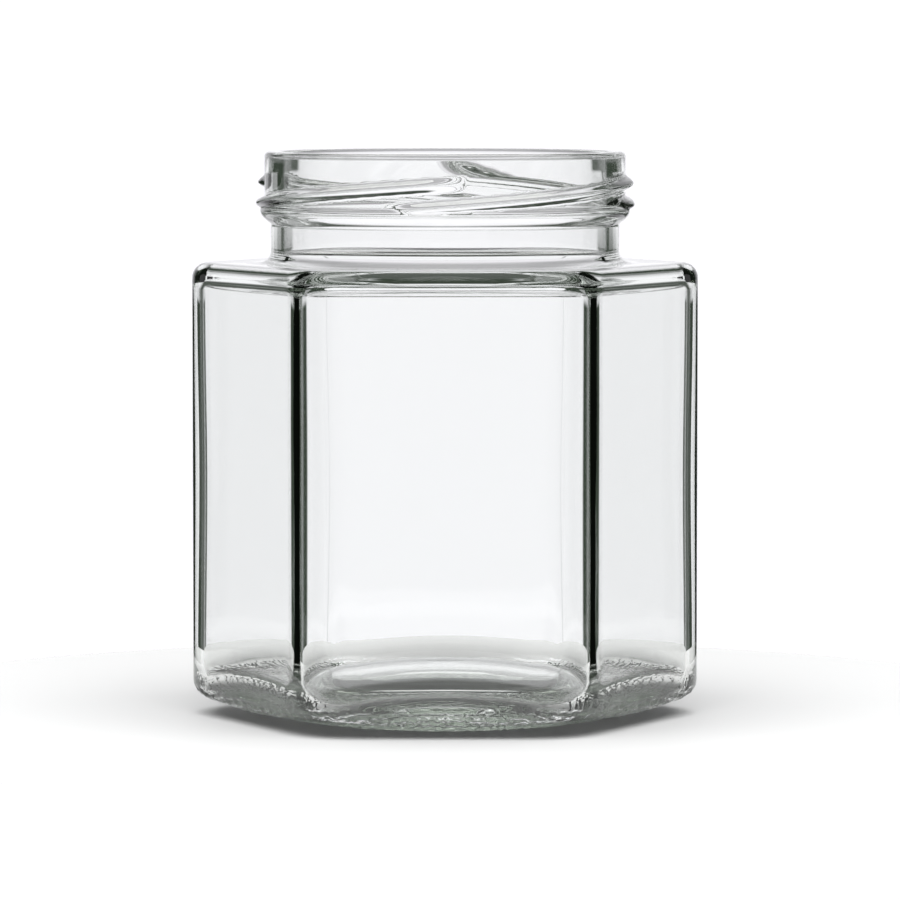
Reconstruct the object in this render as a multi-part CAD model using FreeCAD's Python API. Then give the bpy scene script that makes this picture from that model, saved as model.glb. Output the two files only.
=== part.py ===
import FreeCAD, Part
import math
import os

# One-piece hexagonal glass jar with a four-start twist-off neck. Millimetres, +Z up.
# The origin is the centre of the base, on the plane the jar stands on.
# Two of the six flat sides face -Y and +Y, so two upright corners point along -X and +X.

# Overall sizes
across_flats = 75.2
total_height = 92.5
neck_height = 18.2
mouth_radius = 26.5

# Body, outside
corner_radius = 12.2
shoulder_round = 2.5

# Base: a flat bearing ring set in from the sides, a heel that slopes up to the sides,
# and a domed push-up that rises from the inside of the ring
ring_inset = 11.6
ring_width = 5.0
ring_edge_round = 4.0
heel_slope = 12.0
heel_round = 3.0
push_up_round = 3.5
push_up_dome_radius = 80.0

# Inside of the body
side_wall = 3.3
inner_corner_radius = 7.6
floor_crest_height = 8.8
floor_dome_radius = 100.0
floor_round = 5.0
shoulder_wall = 2.4
ceiling_round = 2.2

# Neck, from the mouth outwards
neck_wall = 3.1
recess_depth = 1.0
flare_radius = 2.0
rim_outer_round = 0.8
rim_inner_round = 1.0
throat_round = 2.5

# Bead round the neck, used to lift the hot jar out of its mould; its drop is from rim to bead top
bead_stand = 0.6
bead_drop = 8.8
bead_height = 3.0

# Right-hand threads; a drop is from the rim to the middle of a thread's low end
thread_starts = 4
thread_stand = 1.5
thread_root = 1.0
thread_height = 2.2
thread_lead = 14.6
thread_span = 117.0
thread_first_angle = -110.0
thread_low_drop = 9.3
thread_taper = 16.0
thread_sections = 14

# Worked out from the sizes above
sides = 6
shoulder_height = total_height - neck_height
ring_radius = across_flats / 2 - ring_inset
push_up_radius = ring_radius - ring_width
neck_radius = mouth_radius + neck_wall
recess_radius = neck_radius - recess_depth
bead_radius = neck_radius + bead_stand
bead_top = total_height - bead_drop
bead_bottom = bead_top - bead_height
thread_radius = neck_radius + thread_stand
thread_low_centre = total_height - thread_low_drop
touching = 0.01
up = FreeCAD.Vector(0, 0, 1)
axis_point = FreeCAD.Vector(0, 0, 0)


def point(radius, height):
    """A point of an upright section through the axis."""
    return FreeCAD.Vector(radius, 0, height)


def around(centre, radius, degrees):
    """A point of a level circle about a centre."""
    angle = math.radians(degrees)
    return centre + FreeCAD.Vector(radius * math.cos(angle), radius * math.sin(angle), 0)


def line(start, end):
    return Part.LineSegment(start, end).toShape()


def arc(start, middle, end):
    return Part.Arc(start, middle, end).toShape()


def quarter(centre, radius, start_degrees):
    """A quarter circle of an upright section, anticlockwise from start_degrees."""
    places = []
    for step in (0, 45, 90):
        angle = math.radians(start_degrees + step)
        places.append(centre + point(radius * math.cos(angle), radius * math.sin(angle)))
    return arc(*places)


def turned(edges):
    """The solid of revolution of a closed section."""
    return Part.Face(Part.Wire(edges)).revolve(axis_point, up, 360)


def rounded_hexagon(flats, radius, bottom, top):
    """An upright six-sided prism whose corners are arcs that meet the sides smoothly."""
    half_corner = 180.0 / sides
    centre_distance = (flats / 2 - radius) / math.cos(math.radians(half_corner))
    corners = []
    for side in range(sides):
        middle = 2 * half_corner * side
        centre = around(FreeCAD.Vector(0, 0, bottom), centre_distance, middle)
        corners.append([around(centre, radius, middle + turn) for turn in (-half_corner, 0, half_corner)])
    edges = []
    for side in range(sides):
        edges.append(arc(*corners[side]))
        edges.append(line(corners[side][2], corners[(side + 1) % sides][0]))
    return Part.Face(Part.Wire(edges)).extrude(up * (top - bottom))


def edges_between(shape, low, high, nearest=0.0):
    """The edges that lie wholly between two heights and no nearer the axis than a radius."""
    found = []
    for edge in shape.Edges:
        box = edge.BoundBox
        centre = edge.CenterOfMass
        if box.ZMin > low and box.ZMax < high and math.hypot(centre.x, centre.y) >= nearest:
            found.append(edge)
    return found


def edges_at(shape, height):
    """The edges that lie in one level plane."""
    return edges_between(shape, height - touching, height + touching)


def base_envelope():
    """Everything above the underside: the push-up, the bearing ring and the slope up to the sides."""
    bend = []
    for share in (0, 0.5, 1):
        turn = math.radians(heel_slope * share)
        bend.append(point(ring_radius + ring_edge_round * math.sin(turn), ring_edge_round * (1 - math.cos(turn))))
    slope = point(math.cos(math.radians(heel_slope)), math.sin(math.radians(heel_slope)))
    rim = bend[2] + slope * across_flats / 2
    meeting = math.asin((push_up_radius - push_up_round) / (push_up_dome_radius - push_up_round))
    dome_centre = point(0, -(push_up_dome_radius - push_up_round) * math.cos(meeting))
    dome = []
    for turn in (0, meeting / 2, meeting):
        dome.append(dome_centre + point(math.sin(turn), math.cos(turn)) * push_up_dome_radius)
    edge_turn = (math.pi / 2 + meeting) / 2
    edge_middle = point(math.sin(edge_turn), math.cos(edge_turn)) * push_up_round
    edge_middle = edge_middle + point(push_up_radius - push_up_round, 0)
    edges = [
        arc(*dome),
        arc(dome[2], edge_middle, point(push_up_radius, 0)),
        line(point(push_up_radius, 0), bend[0]),
        arc(*bend),
        line(bend[2], rim),
        line(rim, point(rim.x, total_height)),
        line(point(rim.x, total_height), point(0, total_height)),
        line(point(0, total_height), dome[0]),
    ]
    return turned(edges)


def body():
    """The outside of the six-sided part, up to the flat shoulder."""
    prism = rounded_hexagon(across_flats, corner_radius, 0, shoulder_height)
    prism = prism.makeFillet(shoulder_round, edges_at(prism, shoulder_height))
    shaped = prism.common(base_envelope())
    heel_edges = edges_between(shaped, touching, shoulder_height / 4, ring_radius + touching)
    return shaped.makeFillet(heel_round, heel_edges)


def neck():
    """The outside of the round neck, from inside the shoulder up to the rim."""
    buried = shoulder_height - shoulder_wall / 2
    foot = recess_radius + flare_radius
    lip = neck_radius - rim_outer_round
    bead_crest = point(bead_radius, (bead_top + bead_bottom) / 2)
    edges = [
        line(point(0, buried), point(foot, buried)),
        line(point(foot, buried), point(foot, shoulder_height)),
        quarter(point(foot, shoulder_height + flare_radius), flare_radius, 180),
        line(point(recess_radius, shoulder_height + flare_radius), point(recess_radius, bead_bottom)),
        arc(point(recess_radius, bead_bottom), bead_crest, point(neck_radius, bead_top)),
        line(point(neck_radius, bead_top), point(neck_radius, total_height - rim_outer_round)),
        quarter(point(lip, total_height - rim_outer_round), rim_outer_round, 0),
        line(point(lip, total_height), point(0, total_height)),
        line(point(0, total_height), point(0, buried)),
    ]
    return turned(edges)


def thread_slice(angle, height, crest):
    """One upright slice of a thread: a rounded ridge whose root lies inside the neck wall."""
    root = neck_radius - thread_root
    low = point(root, height - thread_height / 2)
    high = point(root, height + thread_height / 2)
    wire = Part.Wire([line(high, low), arc(low, point(crest, height), high)])
    wire.rotate(axis_point, up, angle)
    return wire


def thread(first_angle):
    """A ridge that climbs to the right and sinks into the neck at both ends."""
    sunk = neck_radius - thread_root / 2
    slices = []
    for index in range(thread_sections):
        travel = thread_span * index / (thread_sections - 1)
        from_end = min(travel, thread_span - travel) / thread_taper
        share = math.sin(math.radians(90 * min(from_end, 1.0)))
        crest = sunk + (thread_radius - sunk) * share
        height = thread_low_centre + thread_lead * travel / 360
        slices.append(thread_slice(first_angle + travel, height, crest))
    return Part.makeLoft(slices, True, False)


def cavity():
    """The space inside: the six-sided room over a domed floor, and the round mouth above it."""
    ceiling = shoulder_height - shoulder_wall
    room = rounded_hexagon(across_flats - 2 * side_wall, inner_corner_radius, 0, ceiling)
    room = room.cut(Part.makeSphere(floor_dome_radius, point(0, floor_crest_height - floor_dome_radius)))
    room = room.makeFillet(floor_round, edges_between(room, 0, floor_crest_height, ring_radius))
    room = room.makeFillet(ceiling_round, edges_at(room, ceiling))
    bore = Part.makeCylinder(mouth_radius, total_height - ceiling + throat_round, point(0, ceiling - throat_round), up)
    space = room.fuse(bore).removeSplitter()
    return space.makeFillet(throat_round, edges_at(space, ceiling))


def jar():
    outside = body().fuse(neck())
    for start in range(thread_starts):
        outside = outside.fuse(thread(thread_first_angle + 360.0 * start / thread_starts))
    glass = outside.cut(cavity())
    mouth_edges = []
    for edge in edges_at(glass, total_height):
        if abs(edge.BoundBox.XMax - mouth_radius) < touching:
            mouth_edges.append(edge)
    return glass.makeFillet(rim_inner_round, mouth_edges).removeSplitter().Solids[0]


os.makedirs("parts", exist_ok=True)
glass_jar = jar()
glass_jar.exportStep("parts/jar.step")
print("valid", glass_jar.isValid(), "volume in cubic centimetres", round(glass_jar.Volume / 1000, 2))
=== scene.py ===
import math

import bpy
import numpy as np
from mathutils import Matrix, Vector


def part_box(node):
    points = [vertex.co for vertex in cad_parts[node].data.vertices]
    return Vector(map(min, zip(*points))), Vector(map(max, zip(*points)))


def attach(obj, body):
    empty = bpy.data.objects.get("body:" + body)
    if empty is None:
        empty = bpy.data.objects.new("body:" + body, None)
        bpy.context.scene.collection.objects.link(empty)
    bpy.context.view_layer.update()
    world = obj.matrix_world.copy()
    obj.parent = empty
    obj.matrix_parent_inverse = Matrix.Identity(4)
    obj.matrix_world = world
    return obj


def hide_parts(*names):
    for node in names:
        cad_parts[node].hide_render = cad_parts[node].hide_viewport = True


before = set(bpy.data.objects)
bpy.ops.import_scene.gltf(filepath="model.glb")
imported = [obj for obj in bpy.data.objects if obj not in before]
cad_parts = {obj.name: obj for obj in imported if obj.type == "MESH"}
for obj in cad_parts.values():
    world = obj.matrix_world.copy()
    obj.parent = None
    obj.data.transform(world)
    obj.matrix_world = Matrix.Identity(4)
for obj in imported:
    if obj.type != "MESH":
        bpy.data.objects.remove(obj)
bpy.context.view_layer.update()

jarLow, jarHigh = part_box("jar")
mm = 0.001


class Wire:
    # one output socket; sums and products of wires add Math nodes to the same tree
    def __init__(self, bench, socket):
        self.bench = bench
        self.socket = socket

    def __add__(self, other):
        return self.bench.maths("ADD", self, other)

    def __radd__(self, other):
        return self.bench.maths("ADD", other, self)

    def __sub__(self, other):
        return self.bench.maths("SUBTRACT", self, other)

    def __rsub__(self, other):
        return self.bench.maths("SUBTRACT", other, self)

    def __mul__(self, other):
        return self.bench.maths("MULTIPLY", self, other)

    def __rmul__(self, other):
        return self.bench.maths("MULTIPLY", other, self)

    def __abs__(self):
        return self.bench.maths("ABSOLUTE", self)

    def out(self, name):
        return Wire(self.bench, self.socket.node.outputs[name])

    def ramped(self, low, high):
        # 0 below low, 1 above high, smooth between
        return self.bench.put("ShaderNodeMapRange", {"interpolation_type": "SMOOTHSTEP"}, {
            "Value": self, "From Min": low, "From Max": high,
        })


class Bench:
    # builds the nodes of one tree
    def __init__(self, tree):
        self.tree = tree
        self.tree.nodes.clear()

    def put(self, kind, settings=None, sockets=None):
        node = self.tree.nodes.new(kind)
        for name, value in (settings or {}).items():
            setattr(node, name, value)
        for name, value in (sockets or {}).items():
            if isinstance(value, Wire):
                self.tree.links.new(value.socket, node.inputs[name])
            else:
                node.inputs[name].default_value = value
        return Wire(self, node.outputs[0]) if len(node.outputs) else node

    def maths(self, operation, *inputs):
        return self.put("ShaderNodeMath", {"operation": operation}, dict(enumerate(inputs)))


jarSizes = {
    "acrossFlats": jarHigh.y - jarLow.y,
    "height": jarHigh.z - jarLow.z,
    "cornerRadius": 12.2 * mm,
    "sideWall": 3.3 * mm,
    "innerCorner": 7.6 * mm,
    "wallSwell": 0.3 * mm,  # how much thicker the walls are at mid-height
    # underside
    "pushUpRadius": 21.0 * mm,
    "pushUpRound": 3.5 * mm,
    "pushUpDome": 80.0 * mm,
    "ringRadius": 26.0 * mm,
    "ringRound": 4.0 * mm,
    "heelSlope": math.radians(12),
    "heelRound": 3.0 * mm,
    "stippleStand": 0.5 * mm,
    "stippleSpacing": 1.7 * mm,
    "stippleStart": 23.5 * mm,  # radius, as is the next
    "stippleEnd": 44.0 * mm,
    "stippleSpread": 0.62,  # a knurl's radius as a share of the spacing
    "stippleTurn": 0.25,  # how far a knurl strays along its ring and across it, as a share too
    "stippleShift": 0.2,
    "stippleSeed": 7,
    # inner floor
    "floorCrest": 8.8 * mm,
    "floorDome": 100.0 * mm,
    "floorRound": 5.0 * mm,
    # shoulder
    "shoulderDrop": 18.2 * mm,  # from the rim down to the shoulder
    "shoulderRound": 2.5 * mm,
    "shoulderWall": 2.4 * mm,
    "ceilingRound": 2.2 * mm,
    # neck
    "mouthRadius": 26.5 * mm,
    "neckRadius": 29.6 * mm,
    "recessRadius": 28.6 * mm,
    "flareRadius": 2.0 * mm,
    "throatRound": 2.5 * mm,
    "rimOuterRound": 0.8 * mm,
    "rimInnerRound": 1.0 * mm,
    "beadRadius": 30.2 * mm,
    "beadDrop": 8.8 * mm,
    "beadHeight": 3.0 * mm,
    "beadPower": 0.8,  # below 1 makes the bead's section fuller than a parabola
    # threads
    "threadStarts": 4,
    "threadStand": 1.5 * mm,
    "threadHalf": 1.15 * mm,
    "threadLead": 14.6 * mm,
    "threadDrop": 9.3 * mm,  # from the rim down to the middle of a thread's low end
    "threadSpan": 117.0,  # degrees, as are the next two
    "threadFirst": -110.0,
    "threadTaper": 16.0,
    "threadPower": 1.25,  # above 1 makes the section slimmer
    "around": 420,  # mesh points round the jar
}


def sextantShare(apothem, corner):
    # the share of a sextant's directions that its rounded corner takes up
    centre = (apothem - corner) / math.cos(math.pi / 6)
    tangent = math.atan2(corner / 2, centre + corner * math.cos(math.pi / 6))
    return tangent / (math.pi / 6)


class HexRing:
    # level outlines of a rounded hexagon and its insets, all cut by the same upright lines
    def __init__(self, apothem, corner, around):
        self.corner = corner
        centre = (apothem - corner) / math.cos(math.pi / 6)
        perSextant = around // 6
        share = sextantShare(apothem, corner)
        half = perSextant / 2
        turn = np.zeros(around)  # direction of the outward normal, radians
        along = np.zeros(around)  # signed place on a flat side, -1 to 1, else 0
        middle = np.zeros(around)  # direction of the nearest corner, radians
        for index in range(around):
            sector, place = divmod(index + half, perSextant)
            offset = (place - half) / half  # -1 to 1 over the sextant centred on a corner
            middle[index] = math.radians(60 * sector)
            if abs(offset) <= share:
                turn[index] = middle[index] + offset / share * math.pi / 6
            else:
                turn[index] = middle[index] + math.copysign(math.pi / 6, offset)
                along[index] = math.copysign((abs(offset) - share) / (1 - share), offset)
        self.normal = np.stack([np.cos(turn), np.sin(turn)], 1)
        self.hub = centre * np.stack([np.cos(middle), np.sin(middle)], 1)
        # on a side, the foot slides from this corner's tangent point to the middle of the side
        tangent = np.stack([-np.sin(turn), np.cos(turn)], 1)
        halfSide = centre * math.sin(math.pi / 6)
        self.slide = tangent * (along * halfSide)[:, None]

    def outline(self, inset):
        return self.hub + self.slide + self.normal * (self.corner - inset)


def circlePoints(radius, around):
    angle = 2 * np.pi * np.arange(around) / around
    return radius * np.stack([np.cos(angle), np.sin(angle)], 1)


def mixed(first, second, share):
    return first * (1 - share) + second * share


def smooth(value):
    value = np.clip(value, 0, 1)
    return value * value * (3 - 2 * value)


def turnedBetween(first, second, share):
    # unit vectors part of the way round from one set of directions to another
    angle = np.arccos(np.clip((first * second).sum(1), -1, 1))[:, None]
    return (first * np.sin((1 - share) * angle) + second * np.sin(share * angle)) / np.sin(angle)


class RingStack:
    # the jar's skin as rings, from the middle of its underside up, over the rim and down inside
    def __init__(self, around):
        self.around = around
        self.rings = []

    def level(self, outline, height):
        heights = np.broadcast_to(height, (self.around,))
        self.rings.append(np.column_stack([outline, heights]))

    def circle(self, radius, height):
        radii = np.broadcast_to(radius, (self.around,))
        self.level(circlePoints(1.0, self.around) * radii[:, None], height)

    def quarter(self, steps, radiusAt, heightAt):
        # rings through a quarter turn; radiusAt and heightAt take the turned angle
        for step in range(steps + 1):
            turn = math.pi / 2 * step / steps
            self.circle(radiusAt(turn), heightAt(turn))


def stippleAt(sizes, outline):
    # small knurls, laid in uneven rings on the underside
    source = np.random.default_rng(sizes["stippleSeed"])
    spacing = sizes["stippleSpacing"]
    turn = sizes["stippleTurn"]
    shift = sizes["stippleShift"]
    radius = sizes["pushUpRadius"] + 0.5 * spacing
    dots = []
    while radius < sizes["stippleEnd"]:
        count = round(2 * math.pi * radius / spacing)
        angles = 2 * np.pi * (np.arange(count) + source.uniform(-turn, turn, count)) / count
        radii = radius + source.uniform(-shift, shift, count) * spacing
        dots.append(np.stack([radii * np.cos(angles), radii * np.sin(angles)], 1))
        radius += spacing
    nearest = np.full(len(outline), np.inf)
    for dot in np.concatenate(dots):
        nearest = np.minimum(nearest, np.hypot(*(outline - dot).T))
    fade = smooth((np.linalg.norm(outline, axis=1) - sizes["stippleStart"]) / spacing)
    return sizes["stippleStand"] * fade * smooth(1 - nearest / (sizes["stippleSpread"] * spacing))


def liftAt(sizes, outline):
    # how high the underside stands outside the bearing ring: an arc that runs on as a straight slope
    beyond = np.clip(np.linalg.norm(outline, axis=1) - sizes["ringRadius"], 0, None)
    curved = np.minimum(beyond, sizes["ringRound"] * math.sin(sizes["heelSlope"]))
    rise = sizes["ringRound"] - np.sqrt(sizes["ringRound"] ** 2 - curved ** 2)
    return rise + (beyond - curved) * math.tan(sizes["heelSlope"])


def addPushUp(stack, sizes):
    # a shallow dome, then a round edge down to the bearing ring
    edge = sizes["pushUpRound"]
    dome = sizes["pushUpDome"]
    meeting = math.asin((sizes["pushUpRadius"] - edge) / (dome - edge))
    centre = -(dome - edge) * math.cos(meeting)
    for share in (0.03, 0.15, 0.3, 0.45, 0.6, 0.75, 0.88, 1.0):
        stack.circle(dome * math.sin(meeting * share), centre + dome * math.cos(meeting * share))
    for share in (0.12, 0.25, 0.38, 0.5, 0.62, 0.75, 0.88):
        turn = mixed(meeting, math.pi / 2, share)
        stack.circle(sizes["pushUpRadius"] - edge * (1 - math.sin(turn)), edge * math.cos(turn))


def addHeel(stack, sizes, outer):
    # stippled ring and slope, then the heel rolls round into the upright sides
    slope = sizes["heelSlope"]
    ball = sizes["heelRound"]
    slopeSteps = 40
    rollSteps = 13
    knurlReach = 1.3  # the knurls' pattern is drawn out a little where the heel rolls up
    knurlFade = 2.4  # and they die away before the upright sides
    centre = outer.outline(ball)
    outward = centre / np.linalg.norm(centre, axis=1)[:, None]
    foot = centre + outward * ball * math.sin(slope)
    ringFoot = circlePoints(sizes["pushUpRadius"], stack.around)
    for step in range(slopeSteps + 1):
        outline = mixed(ringFoot, foot, step / slopeSteps)
        stack.level(outline, liftAt(sizes, outline) + stippleAt(sizes, outline))
    down = np.column_stack([outward * math.sin(slope), np.full(stack.around, -math.cos(slope))])
    sideways = np.column_stack([outer.normal, np.zeros(stack.around)])
    middle = np.column_stack([centre, liftAt(sizes, centre) + ball / math.cos(slope)])
    for step in range(1, rollSteps + 1):
        facing = turnedBetween(down, sideways, step / rollSteps)
        knurl = stippleAt(sizes, centre + ball * knurlReach * facing[:, :2] * (step / rollSteps))
        knurl *= smooth(knurlFade * (1 - step / rollSteps))
        stack.rings.append(middle + (ball - knurl[:, None]) * facing)


def addSides(stack, sizes, outer):
    # upright sides, the shoulder's round and its flat top
    foot = stack.rings[-1][:, 2]
    shoulder = sizes["height"] - sizes["shoulderDrop"]
    bend = sizes["shoulderRound"]
    bendSteps = 9
    for share in (0.05, 0.15, 0.3, 0.45, 0.6, 0.75, 0.9):
        stack.level(outer.outline(0), mixed(foot, shoulder - bend, share))
    for step in range(bendSteps + 1):
        turn = math.pi / 2 * step / bendSteps
        stack.level(outer.outline(bend * (1 - math.cos(turn))), shoulder - bend * (1 - math.sin(turn)))
    flareFoot = circlePoints(sizes["recessRadius"] + sizes["flareRadius"], stack.around)
    for share in (0.2, 0.4, 0.6, 0.8):
        stack.level(mixed(outer.outline(bend), flareFoot, share), shoulder)


def threadStandAt(sizes, angles, height):
    # how far the threads stand out of the neck at one height, for each direction
    stand = np.zeros_like(angles)
    for start in range(sizes["threadStarts"]):
        first = sizes["threadFirst"] + 360.0 * start / sizes["threadStarts"]
        travel = (np.degrees(angles) - first) % 360.0
        share = smooth(np.minimum(travel, sizes["threadSpan"] - travel) / sizes["threadTaper"])
        middle = sizes["height"] - sizes["threadDrop"] + sizes["threadLead"] * travel / 360.0
        across = (height - middle) / sizes["threadHalf"]
        ridge = np.clip(1 - across * across, 0, 1) ** sizes["threadPower"]
        stand = np.maximum(stand, sizes["threadStand"] * share * ridge)
    return stand


def addNeck(stack, sizes):
    # flare, recess, transfer bead, threads and rim
    shoulder = sizes["height"] - sizes["shoulderDrop"]
    recess = sizes["recessRadius"]
    flare = sizes["flareRadius"]
    stack.quarter(7, lambda turn: recess + flare * (1 - math.sin(turn)),
                  lambda turn: shoulder + flare * (1 - math.cos(turn)))
    lip = sizes["rimOuterRound"]
    neckTop = sizes["height"] - lip
    beadTop = sizes["height"] - sizes["beadDrop"]
    beadBottom = beadTop - sizes["beadHeight"]
    beadStand = sizes["beadRadius"] - (recess + sizes["neckRadius"]) / 2
    angles = 2 * np.pi * np.arange(stack.around) / stack.around
    neckSteps = 62
    for step in range(1, neckSteps + 1):
        height = mixed(shoulder + flare, neckTop, step / neckSteps)
        rise = (height - beadBottom) / (beadTop - beadBottom)
        stem = mixed(recess, sizes["neckRadius"], smooth(rise))
        bead = beadStand * max(1 - (2 * rise - 1) ** 2, 0) ** sizes["beadPower"]
        stack.circle(stem + np.maximum(bead, threadStandAt(sizes, angles, height)), height)
    stack.quarter(7, lambda turn: sizes["neckRadius"] - lip * (1 - math.cos(turn)),
                  lambda turn: neckTop + lip * math.sin(turn))
    inside = sizes["rimInnerRound"]
    stack.quarter(6, lambda turn: sizes["mouthRadius"] + inside * (1 - math.sin(turn)),
                  lambda turn: sizes["height"] - inside * (1 - math.cos(turn)))


def addThroat(stack, sizes, inner):
    # down the bore, out under the shoulder and round to the inner walls
    ceiling = sizes["height"] - sizes["shoulderDrop"] - sizes["shoulderWall"]
    mouth = sizes["mouthRadius"]
    bend = sizes["throatRound"]
    for share in (0.15, 0.35, 0.55, 0.75, 0.9):
        stack.circle(mouth, mixed(sizes["height"] - sizes["rimInnerRound"], ceiling + bend, share))
    stack.quarter(8, lambda turn: mouth + bend * (1 - math.cos(turn)),
                  lambda turn: ceiling + bend * (1 - math.sin(turn)))
    edge = sizes["ceilingRound"]
    edgeSteps = 9
    for share in (0.5, 1.0):
        stack.level(mixed(circlePoints(mouth + bend, stack.around), inner.outline(edge), share), ceiling)
    for step in range(1, edgeSteps + 1):
        turn = math.pi / 2 * step / edgeSteps
        stack.level(inner.outline(edge * (1 - math.sin(turn))), ceiling - edge * (1 - math.cos(turn)))


def addInside(stack, sizes, inner, waist):
    # inner walls, then a round turn into the domed floor
    bend = sizes["floorRound"]
    dome = sizes["floorDome"]
    domeCentre = sizes["floorCrest"] - dome
    centre = inner.outline(bend)
    wallTop = stack.rings[-1][0, 2]
    wallFoot = domeCentre + np.sqrt((dome + bend) ** 2 - (centre ** 2).sum(1))
    wallSteps = 16
    bendSteps = 11
    for step in range(1, wallSteps):
        swell = math.sin(math.pi * step / wallSteps) ** 2
        outline = mixed(inner.outline(0), waist.outline(0), swell)
        stack.level(outline, mixed(wallTop, wallFoot, step / wallSteps))
    middle = np.column_stack([centre, wallFoot])
    sideways = np.column_stack([inner.normal, np.zeros(stack.around)])
    down = np.array([0, 0, domeCentre]) - middle
    down /= np.linalg.norm(down, axis=1)[:, None]
    for step in range(bendSteps + 1):
        stack.rings.append(middle + bend * turnedBetween(sideways, down, step / bendSteps))
    floorEdge = stack.rings[-1][:, :2]
    for share in (0.85, 0.7, 0.55, 0.4, 0.25, 0.12, 0.03):
        outline = floorEdge * share
        stack.level(outline, domeCentre + np.sqrt(dome ** 2 - (outline ** 2).sum(1)))


def jarRings(sizes):
    half = sizes["acrossFlats"] / 2
    wall = sizes["sideWall"]
    swell = sizes["wallSwell"]
    around = sizes["around"]
    outer = HexRing(half, sizes["cornerRadius"], around)
    inner = HexRing(half - wall, sizes["innerCorner"], around)
    waist = HexRing(half - wall - swell, sizes["innerCorner"] + swell, around)
    stack = RingStack(around)
    addPushUp(stack, sizes)
    addHeel(stack, sizes, outer)
    addSides(stack, sizes, outer)
    addNeck(stack, sizes)
    addThroat(stack, sizes, inner)
    addInside(stack, sizes, inner, waist)
    return stack.rings


def jarMesh(sizes):
    rings = jarRings(sizes)
    around = sizes["around"]
    points = np.concatenate(rings)
    order = np.arange(around)
    following = (order + 1) % around
    faces = []
    for low in range(0, len(points) - around, around):
        high = low + around
        faces.append(np.stack([low + order, low + following, high + following, high + order], 1))
    last = len(points) - around
    underside = len(points)
    floor = underside + 1
    caps = [(underside, int(there), int(here)) for here, there in zip(order, following)]
    caps += [(floor, int(last + here), int(last + there)) for here, there in zip(order, following)]
    points = np.concatenate([points, [rings[0].mean(0)], [rings[-1].mean(0)]])
    mesh = bpy.data.meshes.new("jarGlass")
    mesh.from_pydata(points.tolist(), [], np.concatenate(faces).tolist() + caps)
    mesh.update()
    mesh.polygons.foreach_set("use_smooth", [True] * len(mesh.polygons))
    return mesh


glassLook = {
    "refraction": 1.52,
    "tint": (0.78, 0.90, 0.75),
    "tintDensity": 13.0,
    "crystalScale": 1100.0,
    "crystalDepth": 0.24 * mm,
    "crystalTop": 4.0 * mm,  # the crystals stay below this height
    "crystalFade": 0.8 * mm,
    "crystalStart": 23.5 * mm,  # and outside this radius
    "crystalEdge": 1.0 * mm,
    "crystalHaze": 0.01,
    "waveScale": 45.0,
    "waveDepth": 0.05 * mm,
}


def jarMaterial():
    material = bpy.data.materials.new("flintGlass")
    material.use_nodes = True
    bench = Bench(material.node_tree)
    place = bench.put("ShaderNodeTexCoord").out("Object")
    parts = bench.put("ShaderNodeSeparateXYZ", {}, {"Vector": place})
    # crystals of the stippled underside
    cells = bench.put("ShaderNodeTexVoronoi", {"feature": "F1"}, {
        "Vector": place, "Scale": glassLook["crystalScale"],
    })
    flat = bench.put("ShaderNodeCombineXYZ", {}, {"X": parts.out("X"), "Y": parts.out("Y")})
    away = bench.put("ShaderNodeVectorMath", {"operation": "LENGTH"}, {0: flat}).out("Value")
    top = glassLook["crystalTop"]
    start = glassLook["crystalStart"]
    low = 1 - parts.out("Z").ramped(top - glassLook["crystalFade"], top)
    underside = low * away.ramped(start, start + glassLook["crystalEdge"])
    # slow waves left by the mould
    waves = bench.put("ShaderNodeTexNoise", {}, {
        "Vector": place, "Scale": glassLook["waveScale"], "Detail": 1.0,
    })
    relief = waves * glassLook["waveDepth"] + cells * underside * glassLook["crystalDepth"]
    normal = bench.put("ShaderNodeBump", {}, {"Strength": 1.0, "Distance": 1.0, "Height": relief})
    glass = bench.put("ShaderNodeBsdfPrincipled", {}, {
        "Base Color": (1, 1, 1, 1),
        "Roughness": underside * glassLook["crystalHaze"],
        "IOR": glassLook["refraction"],
        "Transmission Weight": 1.0,
        "Normal": normal,
    })
    body = bench.put("ShaderNodeVolumeAbsorption", {}, {
        "Color": (*glassLook["tint"], 1), "Density": glassLook["tintDensity"],
    })
    bench.put("ShaderNodeOutputMaterial", {}, {"Surface": glass, "Volume": body})
    return material


print("jar")
jar = bpy.data.objects.new("jarGlass", jarMesh(jarSizes))
bpy.context.scene.collection.objects.link(jar)
jar.data.materials.append(jarMaterial())
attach(jar, "root")
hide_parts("jar")

floorLook = {
    "radius": 110 * mm,
    "around": 128,
    "drop": 0.02 * mm,  # a hair below the jar's foot
    "color": (0.4, 0.4, 0.4),
    "roughness": 0.6,
    "shine": 0.1,
    "glow": 0.03,  # an even glow that keeps the jar's shadow light
}


def floorDisc():
    mesh = bpy.data.meshes.new("floor")
    edge = circlePoints(floorLook["radius"], floorLook["around"])
    points = [(*point, 0) for point in edge.tolist()]
    mesh.from_pydata(points, [], [list(range(len(points)))])
    disc = bpy.data.objects.new("floor", mesh)
    disc.location.z = jarLow.z - floorLook["drop"]
    bpy.context.scene.collection.objects.link(disc)
    material = bpy.data.materials.new("paleFloor")
    material.use_nodes = True
    bench = Bench(material.node_tree)
    paint = bench.put("ShaderNodeBsdfPrincipled", {}, {
        "Base Color": (*floorLook["color"], 1),
        "Roughness": floorLook["roughness"],
        "Specular IOR Level": floorLook["shine"],
        "Emission Color": (1, 1, 1, 1),
        "Emission Strength": floorLook["glow"],
    })
    bench.put("ShaderNodeOutputMaterial", {}, {"Surface": paint})
    mesh.materials.append(material)


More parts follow.
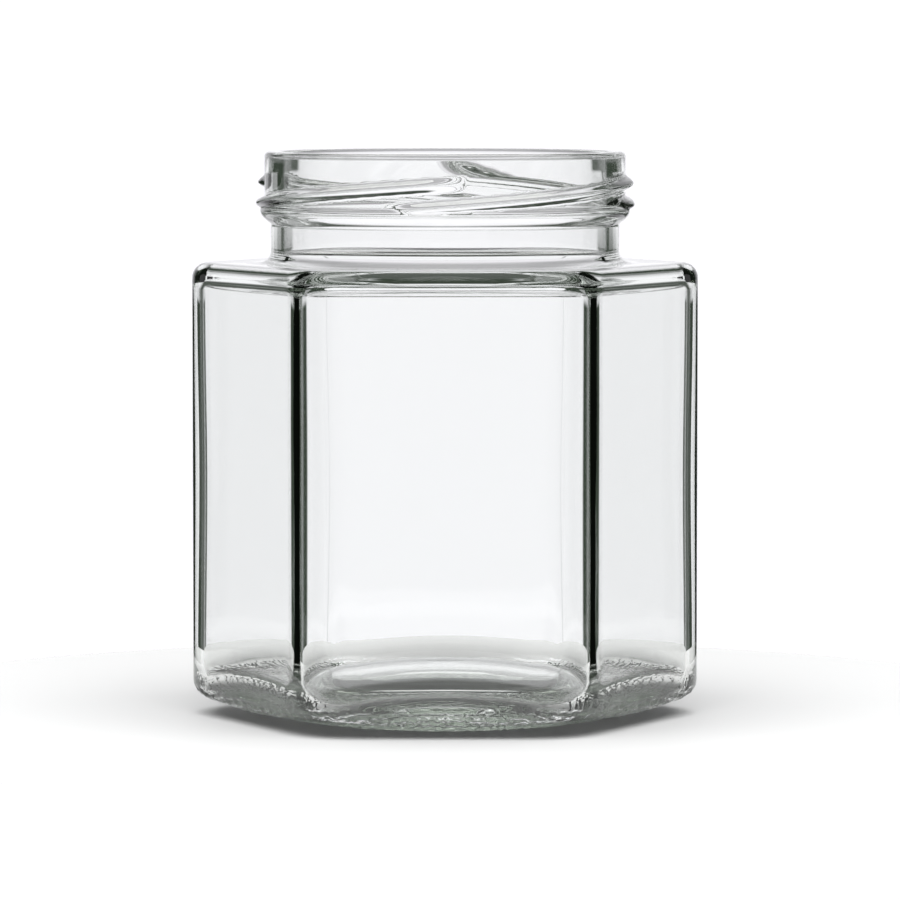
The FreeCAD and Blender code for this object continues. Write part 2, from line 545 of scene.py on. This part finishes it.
studio = {
    "backdrop": 1.06,  # the plain backdrop's brightness
    "roomColor": (0.045, 0.058, 0.044),  # the dim room between the lights
    # each light: middle and half width in degrees away from straight behind the jar,
    # lowest and highest height in degrees, strength
    "lights": {
        "back": (0.0, 14.5, -12.0, 31.0, 1.02),
        "wing": (20.0, 5.5, -2.0, 28.0, 0.85),
        "outerWing": (30.0, 4.5, -2.0, 28.0, 0.40),
        "strip": (60.0, 6.0, -12.0, 28.0, 0.35),
        "front": (180.0, 30.0, -12.0, 28.0, 0.15),
        "top": (90.0, 95.0, 58.0, 92.0, 1.0),
    },
    "lightColor": (1.0, 0.985, 1.03),
    "softEdge": 1.2,  # how softly a light ends at its sides, in degrees
    "softTop": 4.0,  # and at its top
    "softFoot": 0.5,  # and at its foot
    "lowest": -10.0,  # below this height, in degrees, the lights end and the pale ground begins
    "softGround": 3.0,  # how softly, in degrees
    "ground": ((-24.0, 0.42), (-15.0, 0.94)),  # its brightness by height in degrees
    "lampPlace": (0.0, -0.36, 0.60),  # the soft lamp that lights the floor
    "lampSize": 1.2,
    "lampPower": 23.0,
}


def stepped(value, stops):
    # a wire that goes smoothly from stop to stop
    total = stops[0][1]
    for (start, first), (end, second) in zip(stops, stops[1:]):
        total = total + value.ramped(start, end) * (second - first)
    return total


def studioLight():
    world = bpy.data.worlds.new("studio")
    bpy.context.scene.world = world
    world.use_nodes = True
    bench = Bench(world.node_tree)
    where = bench.put("ShaderNodeTexCoord").out("Generated")
    parts = bench.put("ShaderNodeSeparateXYZ", {}, {"Vector": where})
    x, y, z = parts.out("X"), parts.out("Y"), parts.out("Z")
    degrees = 180 / math.pi
    azimuth = bench.maths("ARCTAN2", abs(x), y) * degrees
    steep = bench.maths("ARCSINE", z) * degrees
    edge = studio["softEdge"]
    foot = studio["softFoot"]
    top = studio["softTop"]
    share = 0
    for middle, half, lowest, highest, strength in studio["lights"].values():
        light = 1 - abs(azimuth - middle).ramped(half - edge, half + edge)
        light = light * steep.ramped(lowest - foot, lowest + foot)
        light = light * (1 - steep.ramped(highest - top, highest + top))
        share = share + light * strength
    aboveGround = steep.ramped(studio["lowest"] - studio["softGround"], studio["lowest"])
    ground = stepped(steep, studio["ground"])
    level = ground + aboveGround * (share - ground)
    direct = bench.put("ShaderNodeLightPath").out("Is Camera Ray")
    seen = level + direct * (studio["backdrop"] - level)
    glow = bench.put("ShaderNodeBackground", {}, {"Color": (*studio["lightColor"], 1), "Strength": seen})
    room = bench.put("ShaderNodeBackground", {}, {
        "Color": (*studio["roomColor"], 1),
        "Strength": aboveGround * (1 - direct),
    })
    both = bench.put("ShaderNodeAddShader", {}, {0: glow, 1: room})
    bench.put("ShaderNodeOutputWorld", {}, {"Surface": both})


def softLamp():
    lamp = bpy.data.lights.new("softLamp", "AREA")
    lamp.size = studio["lampSize"]
    lamp.energy = studio["lampPower"]
    holder = bpy.data.objects.new("softLamp", lamp)
    holder.location = studio["lampPlace"]
    # it lights the floor only and never shows in the glass
    holder.visible_camera = False
    holder.visible_transmission = False
    holder.visible_glossy = False
    bpy.context.scene.collection.objects.link(holder)


cameraSetting = {
    "place": (0, -0.907, 0.1088),
    "aim": (0, 0, 0.0434),
    "lens": 221.1,
    "sensor": 36.0,
    "shift": 0.0055,
    "farthest": 50.0,
}


def placeCamera():
    data = bpy.data.cameras.new("camera")
    data.lens = cameraSetting["lens"]
    data.shift_x = cameraSetting["shift"]
    data.sensor_width = cameraSetting["sensor"]
    data.clip_end = cameraSetting["farthest"]
    camera = bpy.data.objects.new("camera", data)
    camera.location = cameraSetting["place"]
    direction = Vector(cameraSetting["aim"]) - Vector(cameraSetting["place"])
    camera.rotation_mode = "QUATERNION"
    camera.rotation_quaternion = direction.to_track_quat("-Z", "Y")
    bpy.context.scene.collection.objects.link(camera)
    bpy.context.scene.camera = camera


# how often light may turn inside the glass and between its faces
bounces = {"max_bounces": 24, "transmission_bounces": 24, "glossy_bounces": 8}

print("floor")
floorDisc()
print("light")
studioLight()
softLamp()
print("camera")
placeCamera()
scene = bpy.context.scene
scene.view_settings.view_transform = "Standard"
for name, count in bounces.items():
    setattr(scene.cycles, name, count)
